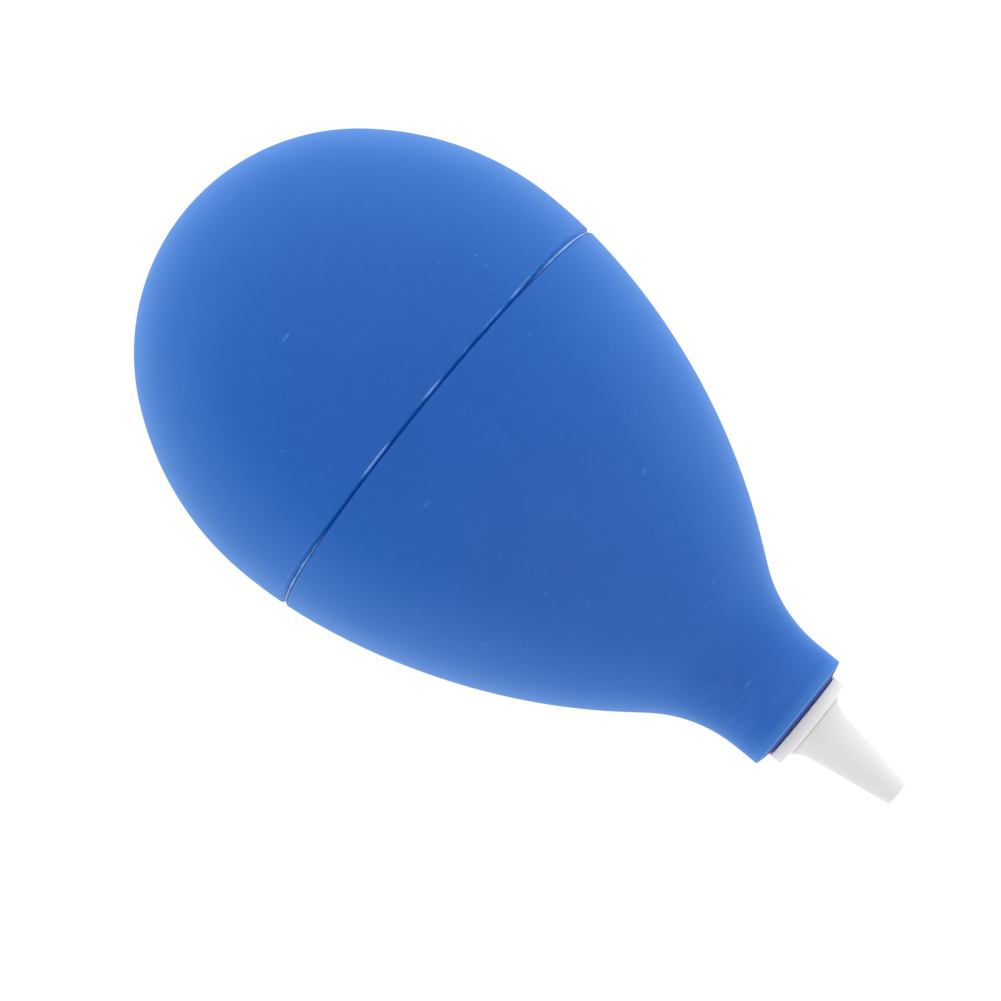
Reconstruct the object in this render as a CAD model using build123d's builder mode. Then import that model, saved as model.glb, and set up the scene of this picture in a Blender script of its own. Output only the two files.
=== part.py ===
"""Dust blower bulb: two rubber half shells bonded at a seam, and a plastic nozzle in the neck.

The bulb's axis runs along +X, towards the nozzle, and the thumb presses on the +Z side.
The origin is on the axis, half way along the blower. Sizes are in millimetres and degrees.
Profiles are drawn on one plane, where x is the distance along the axis from the bulb's rear
pole and y is the distance from the axis. A slope is the angle between a skin and the axis.
"""

import os
from math import cos, radians, sin, sqrt

from build123d import *

# Overall
overall_length = 94.4
belly_radius = 25.0
wall = 2.2
running_clearance = 0.05

# Bulb outline: tangent arcs from the rear pole to the neck
tail_radius = 23.2
tail_slope = 37.7
shoulder_radius = 54.0
shoulder_slope = 10.5
front_radius = 69.5
flank_slope = 37.2

# Neck and mouth
neck_radius = 6.7
neck_flare_radius = 15.0
bore_radius = 4.4
bore_flare_radius = 3.0
mouth_x = 81.5
mouth_dome = 0.15
mouth_bulge = 0.05
mouth_rounding = 0.15
bore_lead_in = 0.3

# Seam: the rear shell's tongue laps inside the front shell, and a bead of bond fills the gap
seam_x = 33.65
seam_gap = 0.8
groove_depth = 0.3
tongue_thickness = 1.0
tongue_length = 3.4
rim_rounding = 0.15

# Thumb wall: the round of the rear shell that a thumb pushes in, square to the skin
press_slope = 10.0
thumb_radius = 7.5
thumb_gap = 0.15

# Nozzle collar: a flanged bush with a barbed stem, whose flange stands off the mouth
flange_radius = 5.15
flange_thickness = 1.35
flange_rounding = 0.12
flange_gap = 0.4
hub_radius = 3.85
hub_height = 0.2
stem_length = 11.5
stem_radius = 3.8
stem_passage_radius = 1.8
barb_count = 3
barb_pitch = 2.6
barb_ramp = 1.9
barb_start = 1.0
socket_radius = 2.6
socket_depth = 8.0
socket_lead_in = 0.3

# Nozzle spout: a flared taper with a plug that pushes into the collar
spout_foot_radius = 3.72
spout_foot_height = 0.1
spout_shank_radius = 2.85
spout_flare_length = 1.8
tip_radius = 1.35
tip_rounding = 0.2
plug_length = 7.8
plug_lead_in = 0.3
outlet_radius = 0.8
outlet_length = 6.0
inlet_radius = 1.5


def arc_drop(radius, slope_from, slope_to):
    """How far a tangent arc falls towards the axis while its slope grows."""
    return radius * (cos(radians(slope_from)) - cos(radians(slope_to)))


# Lengths that follow from the outline's tangent arcs
rear_radius = (belly_radius - arc_drop(tail_radius, tail_slope, 90)) / (1 - cos(radians(tail_slope)))
belly_x = tail_radius + (rear_radius - tail_radius) * sin(radians(tail_slope))
seam_radius = belly_radius - shoulder_radius + sqrt(shoulder_radius**2 - (seam_x - belly_x) ** 2)

# Radii and stations along the axis
rear_rim_x = seam_x - seam_gap / 2
front_rim_x = seam_x + seam_gap / 2
tongue_end_x = front_rim_x + tongue_length
tongue_radius = seam_radius - wall + tongue_thickness
barb_radius = bore_radius - running_clearance
plug_radius = socket_radius - running_clearance
flange_x = mouth_x + flange_gap
hub_x = flange_x + flange_thickness
face_x = hub_x + hub_height
stem_end_x = mouth_x - stem_length
foot_x = face_x + spout_foot_height
shank_x = face_x + spout_flare_length
plug_end_x = face_x - plug_length

section = Plane(origin=(-overall_length / 2, 0, 0), x_dir=(1, 0, 0), z_dir=(0, -1, 0))
bulb_axis = Axis(section.origin, section.x_dir)
press_plane = Plane(
    origin=section.from_local_coords((belly_x, belly_radius - rear_radius, 0)),
    x_dir=(cos(radians(press_slope)), 0, sin(radians(press_slope))),
    z_dir=(-sin(radians(press_slope)), 0, cos(radians(press_slope))),
)


def across(x):
    """The plane across the axis at a distance from the rear pole."""
    return Plane.YZ.offset(section.origin.X + x)


def ring_edges(part, x, radius):
    """The circular edges of a part around the axis at a station and a radius."""
    centre = section.from_local_coords((x, 0, 0))
    nearness = 0.01
    circles = part.edges().filter_by(GeomType.CIRCLE)
    return [
        edge
        for edge in circles
        if (edge.arc_center - centre).length < nearness and abs(edge.radius - radius) < nearness
    ]


def outline(depth, flare_radius, end_radius, end_x):
    """Draw a line from the rear pole to the neck, at a depth under the outer skin."""
    tail = JernArc((depth, 0), (0, 1), tail_radius - depth, tail_slope - 90)
    rear = JernArc(tail @ 1, tail % 1, rear_radius - depth, -tail_slope)
    shoulder = JernArc(rear @ 1, rear % 1, shoulder_radius - depth, -shoulder_slope)
    front = JernArc(shoulder @ 1, shoulder % 1, front_radius - depth, shoulder_slope - flank_slope)
    flank_drop = (front @ 1).Y - end_radius - arc_drop(flare_radius, 0, flank_slope)
    flank = PolarLine(front @ 1, flank_drop / sin(radians(flank_slope)), direction=front % 1)
    flare = JernArc(flank @ 1, flank % 1, flare_radius, flank_slope)
    return Line(flare @ 1, (end_x, end_radius))


# The section of the bulb's wall, from the rear pole to the domed mouth
with BuildSketch(section) as wall_profile:
    with BuildLine():
        outer = outline(0, neck_flare_radius, neck_radius, mouth_x - mouth_dome)
        inner = outline(wall, bore_flare_radius, bore_radius, mouth_x)
        Line((0, 0), (wall, 0))
        SagittaArc(outer @ 1, inner @ 1, mouth_bulge)
    make_face()


def barb_corners():
    """The corners of the stem's barbs, from the stem's end to the mouth."""
    corners = []
    for barb in range(barb_count):
        heel_x = stem_end_x + barb_start + barb * barb_pitch
        crest_x = heel_x + barb_ramp
        corners += [(heel_x, stem_radius), (crest_x, barb_radius), (crest_x, stem_radius)]
    return corners


os.makedirs("parts", exist_ok=True)

# Rear shell, with its tongue and the opening around the thumb wall
with BuildPart() as rear_shell:
    revolve(wall_profile.sketch, axis=bulb_axis)
    split(bisect_by=across(tongue_end_x), keep=Keep.BOTTOM)
    with BuildSketch(across(rear_rim_x)):
        Circle(2 * belly_radius)
        Circle(tongue_radius, mode=Mode.SUBTRACT)
    extrude(amount=2 * tongue_length, mode=Mode.SUBTRACT)
    with BuildSketch(press_plane):
        Circle(thumb_radius + thumb_gap)
    extrude(amount=2 * rear_radius, mode=Mode.SUBTRACT)
    rim = rear_shell.faces().filter_by(Axis.X).sort_by(Axis.X)[0].edges().sort_by(SortBy.LENGTH)[-1]
    fillet(rim, rim_rounding)
rear_shell.part.label = "rear_shell"
export_step(rear_shell.part, "parts/rear_shell.step")

# Thumb wall, the round cut from the same skin
with BuildPart() as thumb_wall:
    revolve(wall_profile.sketch, axis=bulb_axis)
    with BuildSketch(press_plane):
        Circle(thumb_radius)
    extrude(amount=2 * rear_radius, mode=Mode.INTERSECT)
thumb_wall.part.label = "thumb_wall"
export_step(thumb_wall.part, "parts/thumb_wall.step")

# Bead of bond, sunk below the skin
with BuildPart() as seam_bead:
    with BuildSketch(across(rear_rim_x)):
        Circle(seam_radius - groove_depth)
        Circle(tongue_radius, mode=Mode.SUBTRACT)
    extrude(amount=seam_gap)
seam_bead.part.label = "seam_bead"
export_step(seam_bead.part, "parts/seam_bead.step")

# Front shell, with the neck, the domed mouth and the rebate for the tongue
with BuildPart() as front_shell:
    revolve(wall_profile.sketch, axis=bulb_axis)
    split(bisect_by=across(front_rim_x), keep=Keep.TOP)
    with BuildSketch(across(front_rim_x)):
        Circle(tongue_radius)
    extrude(amount=tongue_length, mode=Mode.SUBTRACT)
    rim = front_shell.edges().group_by(Axis.X)[0].sort_by(SortBy.LENGTH)[-1]
    fillet(rim, rim_rounding)
    fillet(ring_edges(front_shell, mouth_x - mouth_dome, neck_radius), mouth_rounding)
    chamfer(ring_edges(front_shell, mouth_x, bore_radius), bore_lead_in)
front_shell.part.label = "front_shell"
export_step(front_shell.part, "parts/front_shell.step")

# Collar: the stem's barbs slope towards the bulb and hook against the mouth
with BuildPart() as nozzle_collar:
    with BuildSketch(section):
        with BuildLine():
            Polyline(
                (stem_end_x, stem_passage_radius),
                (stem_end_x, stem_radius),
                *barb_corners(),
                (flange_x, stem_radius),
                (flange_x, flange_radius),
                (hub_x, flange_radius),
                (hub_x, hub_radius),
                (face_x, hub_radius),
                (face_x, socket_radius),
                (face_x - socket_depth, socket_radius),
                (face_x - socket_depth, stem_passage_radius),
                close=True,
            )
        make_face()
    revolve(axis=bulb_axis)
    chamfer(ring_edges(nozzle_collar, face_x, socket_radius), socket_lead_in)
    fillet(ring_edges(nozzle_collar, flange_x, flange_radius), flange_rounding)
    fillet(ring_edges(nozzle_collar, hub_x, flange_radius), flange_rounding)
    fillet(ring_edges(nozzle_collar, stem_end_x, stem_radius), rim_rounding)
nozzle_collar.part.label = "nozzle_collar"
export_step(nozzle_collar.part, "parts/nozzle_collar.step")

# Spout: its foot sits on the collar's face, and its plug fills the collar's socket
with BuildPart() as nozzle_spout:
    with BuildSketch(section):
        with BuildLine():
            shank = Line((shank_x, spout_shank_radius), (overall_length, tip_radius))
            flare = TangentArc(shank @ 0, (foot_x, spout_foot_radius), tangent=-(shank % 0))
            Polyline(
                flare @ 1,
                (face_x, spout_foot_radius),
                (face_x, plug_radius),
                (plug_end_x, plug_radius),
                (plug_end_x, inlet_radius),
                (overall_length - outlet_length, inlet_radius),
                (overall_length - outlet_length, outlet_radius),
                (overall_length, outlet_radius),
                shank @ 1,
            )
        make_face()
    revolve(axis=bulb_axis)
    fillet(ring_edges(nozzle_spout, overall_length, tip_radius), tip_rounding)
    chamfer(ring_edges(nozzle_spout, plug_end_x, plug_radius), plug_lead_in)
nozzle_spout.part.label = "nozzle_spout"
export_step(nozzle_spout.part, "parts/nozzle_spout.step")
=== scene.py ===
"""Looks of the dust blower bulb: two bonded halves of blue rubber, and a white plastic nozzle.

Profiles are in millimetres, as (x, r): x is the distance from the bulb's rear pole along its
axis, and r is the distance from the axis. A slope is the angle between a skin and the axis.
Sideways is 0 over the bulb's top and bottom, and 1 at its two sides.
The meshes, lights and camera are in metres, in the frame of the CAD model.
"""

from math import atan2, cos, pi, radians, sin, sqrt

import bpy
from mathutils import Matrix, Vector, noise


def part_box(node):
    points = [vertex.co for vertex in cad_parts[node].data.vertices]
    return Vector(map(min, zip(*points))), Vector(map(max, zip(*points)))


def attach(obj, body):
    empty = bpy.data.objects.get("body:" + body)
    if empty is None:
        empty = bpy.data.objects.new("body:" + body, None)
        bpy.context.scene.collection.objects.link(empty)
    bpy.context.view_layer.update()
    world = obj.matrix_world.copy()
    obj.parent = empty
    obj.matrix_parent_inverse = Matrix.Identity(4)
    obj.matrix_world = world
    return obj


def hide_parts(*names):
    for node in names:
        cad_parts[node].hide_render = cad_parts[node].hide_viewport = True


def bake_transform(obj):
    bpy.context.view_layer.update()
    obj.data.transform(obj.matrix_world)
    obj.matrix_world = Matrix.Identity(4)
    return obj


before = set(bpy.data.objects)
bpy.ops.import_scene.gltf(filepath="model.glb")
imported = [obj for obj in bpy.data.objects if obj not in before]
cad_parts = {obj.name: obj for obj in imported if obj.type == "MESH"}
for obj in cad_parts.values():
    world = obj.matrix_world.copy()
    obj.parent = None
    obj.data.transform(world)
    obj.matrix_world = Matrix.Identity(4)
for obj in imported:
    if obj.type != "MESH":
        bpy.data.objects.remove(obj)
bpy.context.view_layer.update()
MM = 0.001

# ------------------------------------------------------------------ camera
NOZZLE_LEAN = radians(3.6)
AXIS_TURN = radians(39.3)
CAMERA_DISTANCE = 0.4
CAMERA_LENS = 140.05
AIM_ALONG, AIM_ACROSS = -3.16 * MM, -2.47 * MM

toward_camera = Vector((sin(NOZZLE_LEAN), 0, cos(NOZZLE_LEAN)))
along = Vector((cos(NOZZLE_LEAN), 0, -sin(NOZZLE_LEAN)))
across = Vector((0, 1, 0))
picture_right = along * cos(AXIS_TURN) + across * sin(AXIS_TURN)
picture_up = across * cos(AXIS_TURN) - along * sin(AXIS_TURN)

camera = bpy.data.objects.new("camera", bpy.data.cameras.new("camera"))
camera.data.lens = CAMERA_LENS
camera.matrix_world = Matrix.Translation(
    along * AIM_ALONG + across * AIM_ACROSS + toward_camera * CAMERA_DISTANCE
) @ Matrix((picture_right, picture_up, toward_camera)).transposed().to_4x4()
bpy.context.scene.collection.objects.link(camera)
bpy.context.scene.camera = camera

# ------------------------------------------------------------------ places, from the frame
pole_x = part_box("rear_shell")[0][0] / MM
tip_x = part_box("nozzle_spout")[1][0] / MM - pole_x
mouth_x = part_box("front_shell")[1][0] / MM - pole_x
floor_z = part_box("rear_shell")[0][2]
seam_low, seam_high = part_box("seam_bead")
rear_rim_x = seam_low[0] / MM - pole_x
front_rim_x = seam_high[0] / MM - pole_x
tongue_end_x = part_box("rear_shell")[1][0] / MM - pole_x
bead_r = seam_high[2] / MM
stem_end_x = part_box("nozzle_collar")[0][0] / MM - pole_x
face_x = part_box("nozzle_collar")[1][0] / MM - pole_x
flange_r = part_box("nozzle_collar")[1][2] / MM
plug_end_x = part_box("nozzle_spout")[0][0] / MM - pole_x
foot_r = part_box("nozzle_spout")[1][2] / MM

# ------------------------------------------------------------------ sizes in millimetres
# Bulb: a chain of tangent arcs, and a mouth that is domed towards the collar's flange
WALL = 2.2
BELLY_R = 25.0
TAIL_R, TAIL_SLOPE = 23.2, radians(37.7)
SHOULDER_R, SHOULDER_SLOPE = 54.0, radians(10.5)
FRONT_R, FLANK_SLOPE = 69.5, radians(37.2)
NECK_R, NECK_FLARE_R = 6.7, 15.0
BORE_R, BORE_FLARE_R = 4.4, 3.0
MOUTH_DOME = 0.15
MOUTH_EDGE = 0.03

# Seam: the groove is open where sideways is high, and pinched elsewhere. The bond in it has a
# crest next to the groove's front wall, and the crest is lower where the groove is pinched.
# The front rim stands a little proud, and a small gap is kept between pieces that fit together.
TONGUE = 1.0
FIT_GAP = 0.01
FRONT_PROUD = 0.01
LIP_WIDTH, LIP_FOOT = 0.12, 0.13
GROOVE_BEVEL = 0.34
GROOVE_CREVICE = 0.07
PINCH, PINCH_REACH = 0.5, 3.0
PINCHED, OPEN = 0.5, 0.9
CREST = 0.22
CREST_LOSS = 0.45
CREST_LOW, CREST_FULL = 0.65, 0.88

# Collar, whose lead-in is also the mouth's and the plug's
FLANGE = 1.35
HUB, HUB_R = 0.2, 3.85
STEM_R = 3.8
BARBS, BARB_R = 3, 4.35
BARB_START, BARB_PITCH, BARB_RAMP = 1.0, 2.6, 1.9
SOCKET_R, SOCKET_DEPTH = 2.6, 8.0
PASSAGE_R = 1.8
LEAD_IN = 0.3

# Spout
SHANK_R, TIP_R = 2.85, 1.35
FLARE_LENGTH, FOOT_HEIGHT = 1.8, 0.1
OUTLET_R, OUTLET_LENGTH = 0.8, 6.0
INLET_R, PLUG_R = 1.5, 2.55
SEAT_GAP = 0.03

# Mesh density, the least radius that isn't a point, and the share of a side that a corner may take
SKIN_STEP, INSIDE_STEP = 0.7, 1.4
FLARE_STEP, SHANK_STEP = 0.2, 0.8
AROUND = 240
CORNER_STEPS = 5
ON_AXIS = 1e-6
CORNER_SHARE = 0.49

# A skin's own points stop this far short of a corner
CORNER_ROOM = 0.5


def arc_drop(radius, slope_from, slope_to):
    """How far a tangent arc falls towards the axis while its slope grows."""
    return radius * (cos(slope_from) - cos(slope_to))


REAR_R = (BELLY_R - arc_drop(TAIL_R, TAIL_SLOPE, pi / 2)) / (1 - cos(TAIL_SLOPE))
BELLY_X = TAIL_R + (REAR_R - TAIL_R) * sin(TAIL_SLOPE)
SHOULDER_CENTRE = (BELLY_X, BELLY_R - SHOULDER_R)
FRONT_CENTRE = (
    BELLY_X - (FRONT_R - SHOULDER_R) * sin(SHOULDER_SLOPE),
    BELLY_R - SHOULDER_R - (FRONT_R - SHOULDER_R) * cos(SHOULDER_SLOPE),
)


def skin_r(x):
    """The outer skin's radius at a station on the shoulder, which the seam is on."""
    return SHOULDER_CENTRE[1] + sqrt(SHOULDER_R**2 - (x - BELLY_X) ** 2)


def arc(centre, radius, slope_from, slope_to, step, side=1):
    """Points on an arc, without its first one. side is 1 on a convex skin and -1 on a hollow one."""
    count = max(3, round(abs(slope_to - slope_from) * radius / step))
    slopes = [slope_from + (slope_to - slope_from) * i / count for i in range(1, count + 1)]
    return [(centre[0] + side * radius * sin(s), centre[1] + side * radius * cos(s)) for s in slopes]


def run(start, end, step):
    """Points on a straight line, without its first one."""
    count = max(1, round((Vector(end) - Vector(start)).length / step))
    return [tuple(Vector(start).lerp(end, i / count)) for i in range(1, count + 1)]


def skin(depth, flare_r, end_r, end_x, step):
    """The bulb's line from the rear pole to the mouth, at a depth under the outer skin."""
    line = [(depth, 0.0)]
    line += arc((TAIL_R, 0), TAIL_R - depth, -pi / 2, -TAIL_SLOPE, step)
    line += arc((BELLY_X, BELLY_R - REAR_R), REAR_R - depth, -TAIL_SLOPE, 0, step)
    line += arc(SHOULDER_CENTRE, SHOULDER_R - depth, 0, SHOULDER_SLOPE, step)
    line += arc(FRONT_CENTRE, FRONT_R - depth, SHOULDER_SLOPE, FLANK_SLOPE, step)
    top_x, top_r = line[-1]
    drop = top_r - end_r - arc_drop(flare_r, 0, FLANK_SLOPE)
    foot = (top_x + drop * cos(FLANK_SLOPE) / sin(FLANK_SLOPE), top_r - drop)
    line += run(line[-1], foot, step)
    flare_centre = (foot[0] + flare_r * sin(FLANK_SLOPE), foot[1] + flare_r * cos(FLANK_SLOPE))
    line += arc(flare_centre, flare_r, FLANK_SLOPE, 0, step, side=-1)
    return line + run(line[-1], (end_x, end_r), step)


def between(line, low_x, high_x):
    """The points of a line from one station to another."""
    return [point for point in line if low_x <= point[0] <= high_x]


def soften(points):
    """Round the corners of a profile. A point (x, r, size) is a corner with that rounding."""
    line = []
    for i, point in enumerate(points):
        if len(point) == 2:
            line.append(point)
            continue
        middle = Vector(point[:2])
        back = Vector(points[i - 1][:2]) - middle
        ahead = Vector(points[(i + 1) % len(points)][:2]) - middle
        first = middle + back.normalized() * min(point[2], back.length * CORNER_SHARE)
        last = middle + ahead.normalized() * min(point[2], ahead.length * CORNER_SHARE)
        for j in range(CORNER_STEPS + 1):
            t = j / CORNER_STEPS
            line.append(tuple(first * (1 - t) ** 2 + middle * 2 * t * (1 - t) + last * t * t))
    return line


# ------------------------------------------------------------------ lathe
def lathe(name, profile, closed=True, warp=None):
    """Turn a profile round the axis into a closed mesh. warp(point, outward) moves each point."""
    vertices, rings, faces = [], [], []
    for x, r in soften(profile):
        ring = []
        for k in range(1 if r < ON_AXIS else AROUND):
            outward = Vector((0, sin(2 * pi * k / AROUND), cos(2 * pi * k / AROUND)))
            point = Vector((x, 0, 0)) + outward * r
            if warp:
                point = warp(point, outward)
            ring.append(len(vertices))
            vertices.append(((point.x + pole_x) * MM, point.y * MM, point.z * MM))
        rings.append(ring)
    pairs = list(zip(rings, rings[1:]))
    if closed:
        pairs.append((rings[-1], rings[0]))
    for near, far in pairs:
        for k in range(AROUND):
            n = (k + 1) % AROUND
            if len(near) == 1:
                faces.append((near[0], far[k], far[n]))
            elif len(far) == 1:
                faces.append((near[k], far[0], near[n]))
            else:
                faces.append((near[k], far[k], far[n], near[n]))
    mesh = bpy.data.meshes.new(name)
    mesh.from_pydata(vertices, [], faces)
    mesh.shade_smooth()
    piece = bpy.data.objects.new(name, mesh)
    bpy.context.scene.collection.objects.link(piece)
    return piece


BROAD_SIZE, BROAD_DEPTH, BROAD_PLACE = 19.0, 0.05, Vector((3.1, 0.7, 5.9))
FINER_SIZE, FINER_DEPTH = 6.0, 0.012
POLE_CALM = 4
SWELL_SIZE, SWELL_DEPTH, SWELL_PLACE = 2.6, 0.03, Vector((0, 4.4, 0))
RIPPLE_SIZE, RIPPLE_SHARE = 0.8, 0.5


def moulded(point, outward):
    """Broad, shallow unevenness that both halves of the bulb share. It fades out at the pole."""
    broad = noise.noise(point / BROAD_SIZE + BROAD_PLACE)
    finer = noise.noise(point / FINER_SIZE)
    depth = BROAD_DEPTH * broad + FINER_DEPTH * finer
    return point + outward * depth * min(1.0, point.length / POLE_CALM)


def smooth(value, low, high):
    """A smooth step from 0 to 1 as a value goes from low to high."""
    t = min(1.0, max(0.0, (value - low) / (high - low)))
    return t * t * (3 - 2 * t)


def pinched(point, outward):
    """The groove is open at the bulb's sides, and closes up towards its top and bottom."""
    ahead = front_rim_x - point.x
    narrowing = PINCH * (1 - smooth(abs(outward.y), PINCHED, OPEN))
    reach = groove_width * (1 - smooth(ahead, groove_width, groove_width + PINCH_REACH))
    slide = Vector((narrowing * max(0.0, min(ahead, reach)), 0, 0))
    return moulded(point + slide, outward)


def bonded(point, outward):
    """The bond is squeezed up unevenly between the halves, into a crest where the groove is open."""
    ripple = noise.noise(point / RIPPLE_SIZE)
    swell = noise.noise(point / SWELL_SIZE + SWELL_PLACE) + RIPPLE_SHARE * ripple
    crest = max(0.0, Vector(point.yz).length - bead_r)
    sunk = crest * CREST_LOSS * (1 - smooth(abs(outward.y), CREST_LOW, CREST_FULL))
    return pinched(point, outward) + outward * (SWELL_DEPTH * swell - sunk)


# ------------------------------------------------------------------ bulb halves and bond
groove_width = front_rim_x - rear_rim_x
tongue_r = skin_r((rear_rim_x + front_rim_x) / 2) - WALL + TONGUE
rear_wall_x = rear_rim_x + GROOVE_BEVEL
front_wall_x = front_rim_x - GROOVE_CREVICE
rim_x = mouth_x - MOUTH_DOME
hub_x = face_x - HUB
flange_x = hub_x - FLANGE
outside = skin(0, NECK_FLARE_R, NECK_R, rim_x, SKIN_STEP)
inside = skin(WALL, BORE_FLARE_R, BORE_R, mouth_x, INSIDE_STEP)

rear_skin = lathe(
    "rear_rubber_half",
    [
        *between(outside, 0, rear_rim_x - CORNER_ROOM),
        (rear_rim_x, skin_r(rear_rim_x), 0.08),
        (rear_rim_x + LIP_WIDTH, bead_r + LIP_FOOT, 0.05),
        (rear_wall_x, bead_r),
        (rear_wall_x, tongue_r, 0.1),
        (tongue_end_x, tongue_r, 0.15),
        (tongue_end_x, skin_r(tongue_end_x) - WALL - 0.05),
        *between(reversed(inside), 0, tongue_end_x - CORNER_ROOM),
    ],
    closed=False,
    warp=pinched,
)

# The mouth's rubber bulges round the stem, nearly up to the collar's flange
front_skin = lathe(
    "front_rubber_half",
    [
        (front_rim_x, skin_r(front_rim_x) + FRONT_PROUD, 0.025),
        *between(outside, front_rim_x + CORNER_ROOM, rim_x - CORNER_ROOM),
        (rim_x, NECK_R, 0.14),
        (mouth_x + 0.05, NECK_R - 0.75),
        (mouth_x + 0.18, NECK_R - 1.5),
        (flange_x - 0.05, BORE_R + 0.62, 0.12),
        (mouth_x - LEAD_IN, BORE_R, 0.2),
        *between(reversed(inside), tongue_end_x + CORNER_ROOM, mouth_x - CORNER_ROOM),
        (tongue_end_x + 2 * FIT_GAP, skin_r(tongue_end_x) - WALL, 0.1),
        (tongue_end_x + 2 * FIT_GAP, tongue_r + FIT_GAP, 0.1),
        (front_wall_x, tongue_r + FIT_GAP),
        (front_wall_x, bead_r - 0.05),
    ],
    warp=moulded,
)

bead = lathe(
    "seam_bond",
    [
        (rear_wall_x + FIT_GAP, tongue_r + FIT_GAP),
        (rear_wall_x + FIT_GAP, bead_r - 0.02),
        (rear_wall_x + 0.04, bead_r),
        (front_wall_x - 0.05, bead_r + CREST, 0.06),
        (front_wall_x - FIT_GAP, bead_r - 0.04),
        (front_wall_x - FIT_GAP, tongue_r + FIT_GAP),
    ],
    warp=bonded,
)

# ------------------------------------------------------------------ collar and spout
collar_profile = [(stem_end_x, PASSAGE_R, 0.15), (stem_end_x, STEM_R, 0.2)]
for barb in range(BARBS):
    heel_x = stem_end_x + BARB_START + barb * BARB_PITCH
    collar_profile += [
        (heel_x, STEM_R, 0.15),
        (heel_x + BARB_RAMP, BARB_R, 0.08),
        (heel_x + BARB_RAMP, STEM_R, 0.08),
    ]
collar_profile += [
    (flange_x, STEM_R, 0.05),
    (flange_x, flange_r, 0.1),
    (hub_x - 0.02, flange_r, 0.14),
    (hub_x + 0.02, HUB_R + 0.12, 0.1),
    (face_x, HUB_R, 0.07),
    (face_x, SOCKET_R + LEAD_IN, 0.05),
    (face_x - LEAD_IN, SOCKET_R, 0.05),
    (face_x - SOCKET_DEPTH, SOCKET_R, 0.1),
    (face_x - SOCKET_DEPTH, PASSAGE_R, 0.1),
]
collar = lathe("flanged_collar", collar_profile)

# The spout's flare is the arc that leaves the shank smoothly and ends at the foot
shank_start = Vector((face_x + FLARE_LENGTH, SHANK_R))
shank_end = Vector((tip_x, TIP_R))
foot = Vector((face_x + FOOT_HEIGHT, foot_r))
shank_square = Vector((shank_start.y - shank_end.y, shank_end.x - shank_start.x)).normalized()
to_foot = foot - shank_start
flare_r = to_foot.length_squared / (2 * shank_square.dot(to_foot))
flare_centre = shank_start + shank_square * flare_r
shank_slope = atan2(shank_square.x, shank_square.y)
foot_slope = atan2(flare_centre.x - foot.x, flare_centre.y - foot.y)
spout = lathe(
    "tapered_spout",
    [
        (face_x + SEAT_GAP, foot_r),
        tuple(foot),
        *arc(flare_centre, flare_r, foot_slope, shank_slope, FLARE_STEP, side=-1),
        *run(shank_start, shank_end, SHANK_STEP)[:-1],
        (tip_x, TIP_R, 0.22),
        (tip_x, OUTLET_R + 0.12, 0.05),
        (tip_x - 0.15, OUTLET_R, 0.05),
        (tip_x - OUTLET_LENGTH, OUTLET_R, 0.1),
        (tip_x - OUTLET_LENGTH - 0.5, INLET_R, 0.2),
        (plug_end_x, INLET_R, 0.1),
        (plug_end_x, PLUG_R - LEAD_IN, 0.05),
        (plug_end_x + LEAD_IN, PLUG_R, 0.1),
        (face_x + SEAT_GAP, PLUG_R, 0.05),
    ],
)


# ------------------------------------------------------------------ material kit
def add_node(tree, kind, inputs=None, **settings):
    """Add a node. An input is a value, or a socket to link from."""
    node = tree.nodes.new(kind)
    for name, value in settings.items():
        setattr(node, name, value)
    for socket, value in (inputs or {}).items():
        if isinstance(value, bpy.types.NodeSocket):
            tree.links.new(value, node.inputs[socket])
        else:
            node.inputs[socket].default_value = value
    return node


def add_band(tree, value, low, high, to_low, to_high):
    """Add a smooth step of a value from one level to another."""
    inputs = {0: value, 1: low, 2: high, 3: to_low, 4: to_high}
    return add_node(tree, "ShaderNodeMapRange", inputs, interpolation_type="SMOOTHSTEP").outputs[0]


def opaque(colour):
    """A colour for an input: a socket as it is, or red, green and blue with an alpha of 1."""
    return colour if isinstance(colour, bpy.types.NodeSocket) else (*colour, 1.0)


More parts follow.
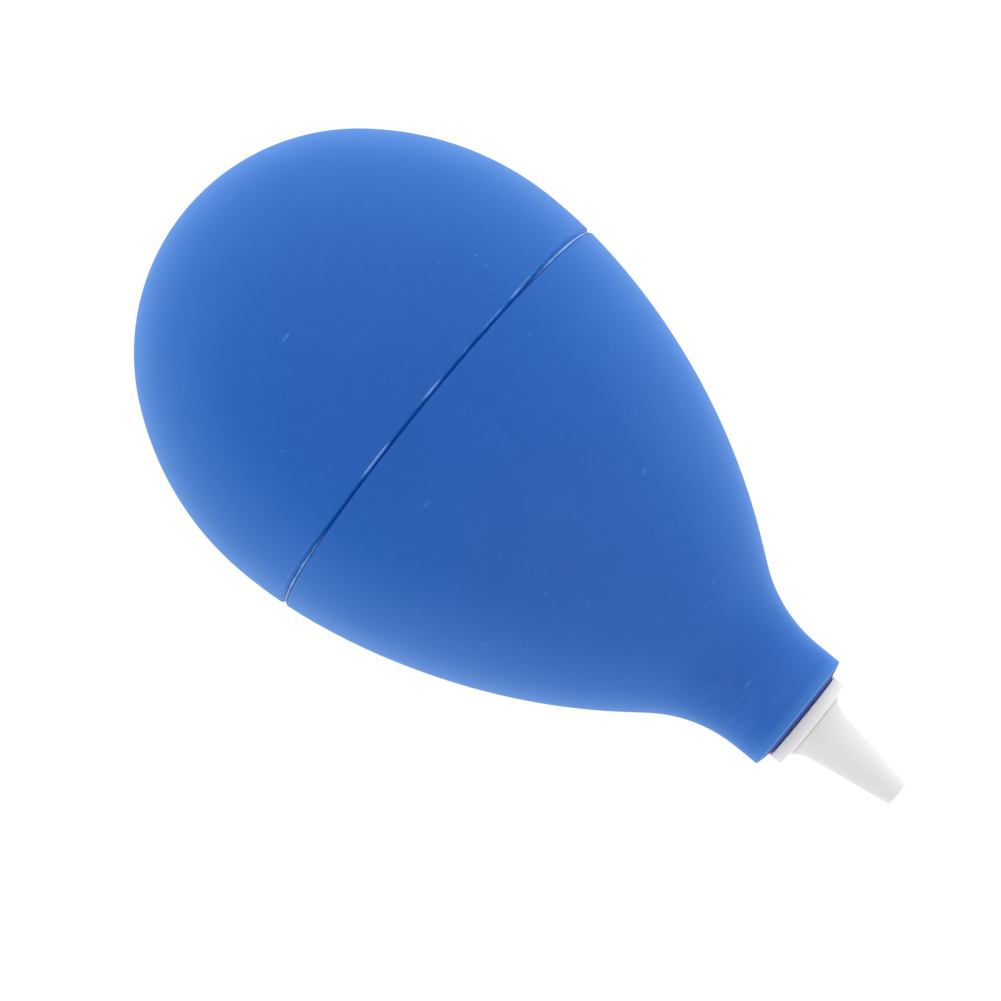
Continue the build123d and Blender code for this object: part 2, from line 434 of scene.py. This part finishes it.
class Look:
    """A node material that is built up step by step. Lengths given to it are in millimetres.

    A fleck fades out from FLECK_CORE of its radius. The weakest of the kept flecks are faint,
    and the strongest FLECK_STRONG of them are at full strength.
    """

    FLECK_CORE = 0.45
    FLECK_STRONG = 0.3

    def __init__(self, name, **constants):
        self.material = bpy.data.materials.new(name)
        self.material.use_nodes = True
        self.tree = self.material.node_tree
        self.shader = self.tree.nodes["Principled BSDF"]
        for socket, value in constants.items():
            self.shader.inputs[socket.replace("_", " ")].default_value = value
        place = self.add("ShaderNodeTexCoord").outputs["Object"]
        scaled = self.add("ShaderNodeVectorMath", {0: place}, operation="SCALE")
        scaled.inputs["Scale"].default_value = 1 / MM
        self.place = scaled.outputs[0]
        x, y, z = self.add("ShaderNodeSeparateXYZ", {0: self.place}).outputs
        self.x = self.math("SUBTRACT", x, pole_x)
        self.sideways = self.math("ABSOLUTE", self.math("SINE", self.math("ARCTAN2", y, z)))

    def add(self, kind, inputs=None, **settings):
        return add_node(self.tree, kind, inputs, **settings)

    def math(self, operation, a, b=0.0, c=0.0):
        return self.add("ShaderNodeMath", {0: a, 1: b, 2: c}, operation=operation).outputs[0]

    def product(self, first, *others):
        """The product of values."""
        for other in others:
            first = self.math("MULTIPLY", first, other)
        return first

    def total(self, *parts):
        """The sum of values, each times its weight."""
        result = 0.0
        for value, weight in parts:
            result = self.math("MULTIPLY_ADD", value, weight, result)
        return result

    def band(self, value, low, high, to_low=0.0, to_high=1.0):
        return add_band(self.tree, value, low, high, to_low, to_high)

    def line(self, station, inner, outer, strength):
        """A line round the axis at a station along it, which fades between two half widths."""
        distance = self.math("ABSOLUTE", self.math("SUBTRACT", self.x, station))
        return self.band(distance, inner, outer, strength, 0.0)

    def mix(self, factor, colour, other):
        inputs = {0: factor, 6: opaque(colour), 7: opaque(other)}
        return self.add("ShaderNodeMix", inputs, data_type="RGBA").outputs[2]

    def shifted(self, stretch, shift, turn=(0, 0, 0)):
        """The place to look a pattern up at. Each pattern has a shift of its own."""
        offset = (shift, shift * 1.7, shift * 0.6)
        inputs = {0: self.place, 1: offset, 2: turn, 3: [1 / s for s in stretch]}
        return self.add("ShaderNodeMapping", inputs).outputs[0]

    def noise(self, size, detail=3.0, rough=0.5, stretch=(1, 1, 1), shift=0.0):
        """Noise with features of a size, from 0 to 1."""
        inputs = {
            "Vector": self.shifted(stretch, shift),
            "Scale": 1 / size,
            "Detail": detail,
            "Roughness": rough,
        }
        return self.add("ShaderNodeTexNoise", inputs).outputs[0]

    def flecks(self, spacing, radius, kept, shift, stretch=(1, 1, 1), turn=(0, 0, 0)):
        """Scattered dots, or hairlines where they are stretched. Only a share of them is kept."""
        inputs = {"Vector": self.shifted(stretch, shift, turn), "Scale": 1 / spacing}
        cells = self.add("ShaderNodeTexVoronoi", inputs)
        edge = radius / spacing
        dot = self.band(cells.outputs["Distance"], edge * self.FLECK_CORE, edge, 1.0, 0.0)
        chance = self.add("ShaderNodeSeparateColor", {0: cells.outputs["Color"]}).outputs[0]
        return self.product(dot, self.band(chance, 1.0 - kept, 1.0 - kept * self.FLECK_STRONG))

    def finish(self, colour, roughness, relief):
        """Connect the results. relief is a height in millimetres."""
        self.tree.links.new(colour, self.shader.inputs["Base Color"])
        self.tree.links.new(roughness, self.shader.inputs["Roughness"])
        bump = self.add("ShaderNodeBump", {"Height": relief, "Strength": 1.0, "Distance": MM})
        self.tree.links.new(bump.outputs[0], self.shader.inputs["Normal"])
        return self.material


# ------------------------------------------------------------------ rubber and bond
RUBBER_IOR = 1.4
MARK_BLUE = (0.2, 0.5, 0.97)
PALE_LIP_AND_HIGHLIGHT_BLUE = (0.3, 0.5, 0.95)
FILM_START, FILM_FULL = 36, 55
TURNED_START, NECK_START, NECK_END = 64, 72, 81


def handling_marks(look):
    """Dust, soft smears and broken hairlines."""
    dust = look.flecks(2.3, 0.14, kept=0.4, shift=5)
    smear = look.flecks(2.4, 0.26, kept=0.8, stretch=(1, 3.5, 1), turn=(0.2, 0.9, -0.9), shift=23)
    smear = look.product(smear, look.band(look.noise(0.5, shift=25), 0.35, 0.65, 0.2, 1.0))
    hair = look.flecks(1.25, 0.11, kept=0.8, stretch=(1, 26, 1), turn=(0.1, -0.3, 0.5), shift=41)
    hair = look.product(hair, look.band(look.noise(1.1, shift=43), 0.4, 0.6))
    return dust, smear, hair


def lip_line_and_crumbs(look):
    """A paler line along the rear half's lip at the groove, and crumbs of bond left on it."""
    narrowed = look.band(look.sideways, PINCHED, OPEN, PINCH * groove_width, 0.0)
    from_lip = look.math("SUBTRACT", look.math("SUBTRACT", look.x, narrowed), rear_rim_x)
    at_lip = look.band(look.math("ABSOLUTE", from_lip), 0.06, 0.15, 1.0, 0.0)
    patches = look.band(look.noise(5, detail=3, shift=3), 0.4, 0.6)
    beads = look.band(look.noise(0.4, detail=2, shift=3), 0.52, 0.62)
    pale_lip_line = look.product(at_lip, look.band(look.sideways, 0.52, 0.68, 0.8, 0.06), patches)
    crumbs = look.product(at_lip, beads, patches, 0.3)
    return pale_lip_line, crumbs


def turning_marks(look):
    """Patches of fine rings that the neck's trimming left, strongest near the mouth."""
    rings = look.noise(0.3, detail=2, stretch=(1, 12, 12), shift=7)
    near_neck = look.band(look.x, TURNED_START, NECK_START, 0.15, 1.0)
    patchy = look.band(look.noise(3.5, shift=51), 0.45, 0.65)
    return look.product(rings, near_neck, patchy)


def blue_rubber():
    """Satin rubber: faint cloud, grain and bloom, a dusty film on the front half, handling and turning
    marks, a paler line with crumbs of bond along the rear lip, and painted highlights at the mouth.
    """
    look = Look(
        "blue_rubber",
        IOR=RUBBER_IOR,
        Subsurface_Weight=0.06,
        Subsurface_Scale=0.5 * MM,
        Subsurface_Radius=(0.4, 0.7, 1.0),
        Sheen_Weight=0.75,
        Sheen_Roughness=0.75,
        Sheen_Tint=(0.0, 0.33, 1.0, 1.0),
    )
    cloud = look.noise(22, detail=3)
    grain = look.noise(0.9, detail=4, rough=0.6, shift=11)
    bloom = look.noise(7, detail=5, rough=0.65, shift=31)
    colour = look.mix(look.band(cloud, 0.3, 0.7), (0.008, 0.079, 0.42), (0.012, 0.087, 0.45))
    colour = look.mix(look.band(grain, 0.35, 0.75, 0, 0.1), colour, (0.02, 0.17, 0.65))
    colour = look.mix(look.band(bloom, 0.5, 0.75, 0, 0.06), colour, (0.08, 0.23, 0.65))

    stretched = look.band(look.x, NECK_START, NECK_END, 0, 0.26)
    colour = look.mix(stretched, colour, (0.02, 0.16, 0.6))
    # Painted highlight: the last millimetre or so of the neck before the mouth is lighter, as if its
    # rounded edge caught the light
    painted_neck_end_highlight = look.band(look.x, mouth_x - 1.6, mouth_x - 0.5, 0, 0.45)
    colour = look.mix(painted_neck_end_highlight, colour, (0.07, 0.26, 0.68))
    film = look.band(look.x, FILM_START, FILM_FULL, 0, 0.075)
    colour = look.mix(film, colour, (0.16, 0.13, 0.2))

    dust, smear, hair = handling_marks(look)
    marks = look.total((dust, 0.34), (smear, 0.26), (hair, 0.32))
    colour = look.mix(marks, colour, MARK_BLUE)
    pale_lip_line, crumbs = lip_line_and_crumbs(look)
    # Painted highlight: a fine light line along the mouth's rounded outer edge, in the same pale blue
    # as the lip line and the crumbs
    corner = look.line(rim_x - MOUTH_EDGE, 0.05, 0.14, strength=0.35)
    colour = look.mix(look.total((pale_lip_line, 1.0), (crumbs, 1.0), (corner, 1.0)), colour, PALE_LIP_AND_HIGHLIGHT_BLUE)
    turning = turning_marks(look)
    colour = look.mix(look.band(turning, 0.4, 0.75, 0, 0.18), colour, (0.1, 0.26, 0.8))

    pores = look.noise(0.22, detail=2, shift=61)
    roughness = look.total((cloud, 0.06), (grain, 0.06), (bloom, 0.08), (marks, 0.3), (1.0, 0.24))
    relief = look.total(
        (grain, 0.004),
        (pores, 0.0016),
        (turning, 0.01),
        (dust, 0.02),
        (smear, 0.01),
        (crumbs, 0.06),
    )
    return look.finish(colour, roughness, relief)


def mouth_rubber_in_painted_shade():
    """The trimmed face of the mouth: duller than the skin, and a little darker as painted shade, with
    a ragged grain.
    """
    look = Look("mouth_rubber_in_painted_shade", IOR=RUBBER_IOR)
    ragged = look.noise(0.5, detail=4, rough=0.6, shift=71)
    # Blues darker than the skin's: painted shade on the mouth's face, next to the collar's flange
    colour = look.mix(look.band(ragged, 0.3, 0.7), (0.007, 0.055, 0.33), (0.011, 0.07, 0.39))
    return look.finish(colour, look.band(ragged, 0.3, 0.7, 0.5, 0.65), look.product(ragged, 0.01))


def bond():
    """Cured bond in the groove: deep blue, its own colour and partly painted shade that darkens the
    groove, with a painted highlight along its crest where the groove is open.
    """
    look = Look("seam_bond", IOR=RUBBER_IOR)
    runs = look.noise(2.2, detail=4, rough=0.6)
    crest = front_rim_x - 0.25
    # Painted highlight: the crest is paler where the groove is open, as if its wall caught the light
    pale = look.product(
        look.band(look.x, crest - 0.28, crest - 0.1),
        look.band(runs, 0.4, 0.6, 0.45, 0.9),
        look.band(look.sideways, 0.62, 0.85),
    )
    # The bond's deep blue is its own dark colour and partly painted shade for the groove
    colour = look.mix(look.band(runs, 0.3, 0.7), (0.003, 0.06, 0.36), (0.006, 0.075, 0.42))
    colour = look.mix(pale, colour, (0.28, 0.54, 0.97))
    roughness = look.band(runs, 0.3, 0.7, 0.32, 0.46)
    return look.finish(colour, roughness, look.product(look.noise(0.5, shift=9), 0.02))


# ------------------------------------------------------------------ plastic and floor
def white_plastic(name, base, shade, pale):
    """Moulded polyethylene: slightly cloudy and translucent, with flow marks and fine specks."""
    look = Look(
        name,
        IOR=1.45,
        Subsurface_Weight=0.3,
        Subsurface_Scale=1.0 * MM,
        Subsurface_Radius=(1.0, 0.95, 0.9),
    )
    flow = look.noise(3.5, detail=3, stretch=(3, 1, 1))
    cloud = look.noise(1.4, detail=3, shift=13)
    colour = look.mix(look.band(flow, 0.3, 0.7), base, shade)
    colour = look.mix(look.band(cloud, 0.5, 0.8, 0, 0.3), colour, pale)
    specks = look.flecks(2.2, 0.06, kept=0.35, shift=7)
    colour = look.mix(look.product(specks, 0.35), colour, (0.3, 0.3, 0.34))
    fine = look.noise(0.12, detail=2, shift=19)
    roughness = look.total((flow, 0.1), (cloud, 0.1), (1.0, 0.3))
    return look.finish(colour, roughness, look.total((cloud, 0.012), (flow, 0.02), (fine, 0.0012)))


def light_table():
    """A pale opal sheet that is lit from below, with a faint fibre."""
    look = Look("light_table", Emission_Color=(1, 1, 1, 1), Emission_Strength=0.95)
    fibre = look.noise(1.5, detail=4)
    colour = look.mix(look.band(fibre, 0.3, 0.7), (0.12, 0.12, 0.12), (0.15, 0.15, 0.15))
    roughness = look.band(fibre, 0.3, 0.7, 0.75, 0.85)
    return look.finish(colour, roughness, look.product(fibre, 0.002))


# ------------------------------------------------------------------ pieces get looks, the CAD nodes they stand for are hidden, and the nozzle's pieces get bodies
MOUTH_FACE = 1
COLLAR_WHITES = (0.94, 0.92, 0.92), (0.91, 0.89, 0.89), (0.95, 0.93, 0.93)
SPOUT_WHITES = (0.88, 0.87, 0.87), (0.85, 0.84, 0.84), (0.9, 0.89, 0.88)

rubber = blue_rubber()
for piece, material, slot, nodes in (
    (rear_skin, rubber, "blue_rubber", ("rear_shell", "thumb_wall")),
    (front_skin, rubber, "blue_rubber", ("front_shell",)),
    (bead, bond(), "bond", ("seam_bead",)),
):
    piece.data.materials.append(material)
    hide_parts(*nodes)
    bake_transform(piece)

# The mouth's face gets the darker rubber, whose colour is painted shade
front_skin.data.materials.append(mouth_rubber_in_painted_shade())
for face in front_skin.data.polygons:
    if face.center.x > (pole_x + rim_x + MOUTH_EDGE) * MM:
        face.material_index = MOUTH_FACE

for piece, whites, slot, node, body in (
    (collar, COLLAR_WHITES, "collar_plastic", "nozzle_collar", "collar"),
    (spout, SPOUT_WHITES, "spout_plastic", "nozzle_spout", "spout"),
):
    piece.data.materials.append(white_plastic(slot, *whites))
    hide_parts(node)
    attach(piece, body)

# ------------------------------------------------------------------ floor and light
FLOOR_HALF = 2.0
AMBIENT, KEY, KEY_EDGE = 0.77, 0.54, 0.2
KEY_UP, KEY_LEFT, KEY_RISE = 0.9, 0.1, 0.15
HAZE, HAZE_HEIGHT = 0.26, 0.16
key_direction = picture_up * KEY_UP - picture_right * KEY_LEFT + Vector((0, 0, KEY_RISE))

floor_mesh = bpy.data.meshes.new("floor")
corners = [(-1, -1), (1, -1), (1, 1), (-1, 1)]
floor_mesh.from_pydata(
    [(x * FLOOR_HALF, y * FLOOR_HALF, floor_z) for x, y in corners], [], [(0, 1, 2, 3)]
)
floor_mesh.materials.append(light_table())
floor = bpy.data.objects.new("floor", floor_mesh)
bpy.context.scene.collection.objects.link(floor)


def studio_sky():
    """A white room, palest at its horizon, with a broad soft light low on the picture's upper side."""
    world = bpy.data.worlds.new("studio")
    world.use_nodes = True
    tree = world.node_tree
    direction = add_node(tree, "ShaderNodeTexCoord").outputs["Generated"]
    inputs = {0: direction, 1: key_direction.normalized()}
    toward_key = add_node(tree, "ShaderNodeVectorMath", inputs, operation="DOT_PRODUCT")
    facing = toward_key.outputs["Value"]
    level = add_band(tree, facing, KEY_EDGE, 1.0, AMBIENT, AMBIENT + KEY)
    height = add_node(tree, "ShaderNodeSeparateXYZ", {0: direction}).outputs[2]
    haze = add_band(tree, height, 0.0, HAZE_HEIGHT, HAZE, 0.0)
    strength = add_node(tree, "ShaderNodeMath", {0: level, 1: haze}, operation="ADD")
    background = tree.nodes["Background"]
    tree.links.new(strength.outputs[0], background.inputs["Strength"])
    background.inputs["Color"].default_value = (1, 1, 1, 1)
    return world


bpy.context.scene.world = studio_sky()
bpy.context.scene.view_settings.view_transform = "Standard"
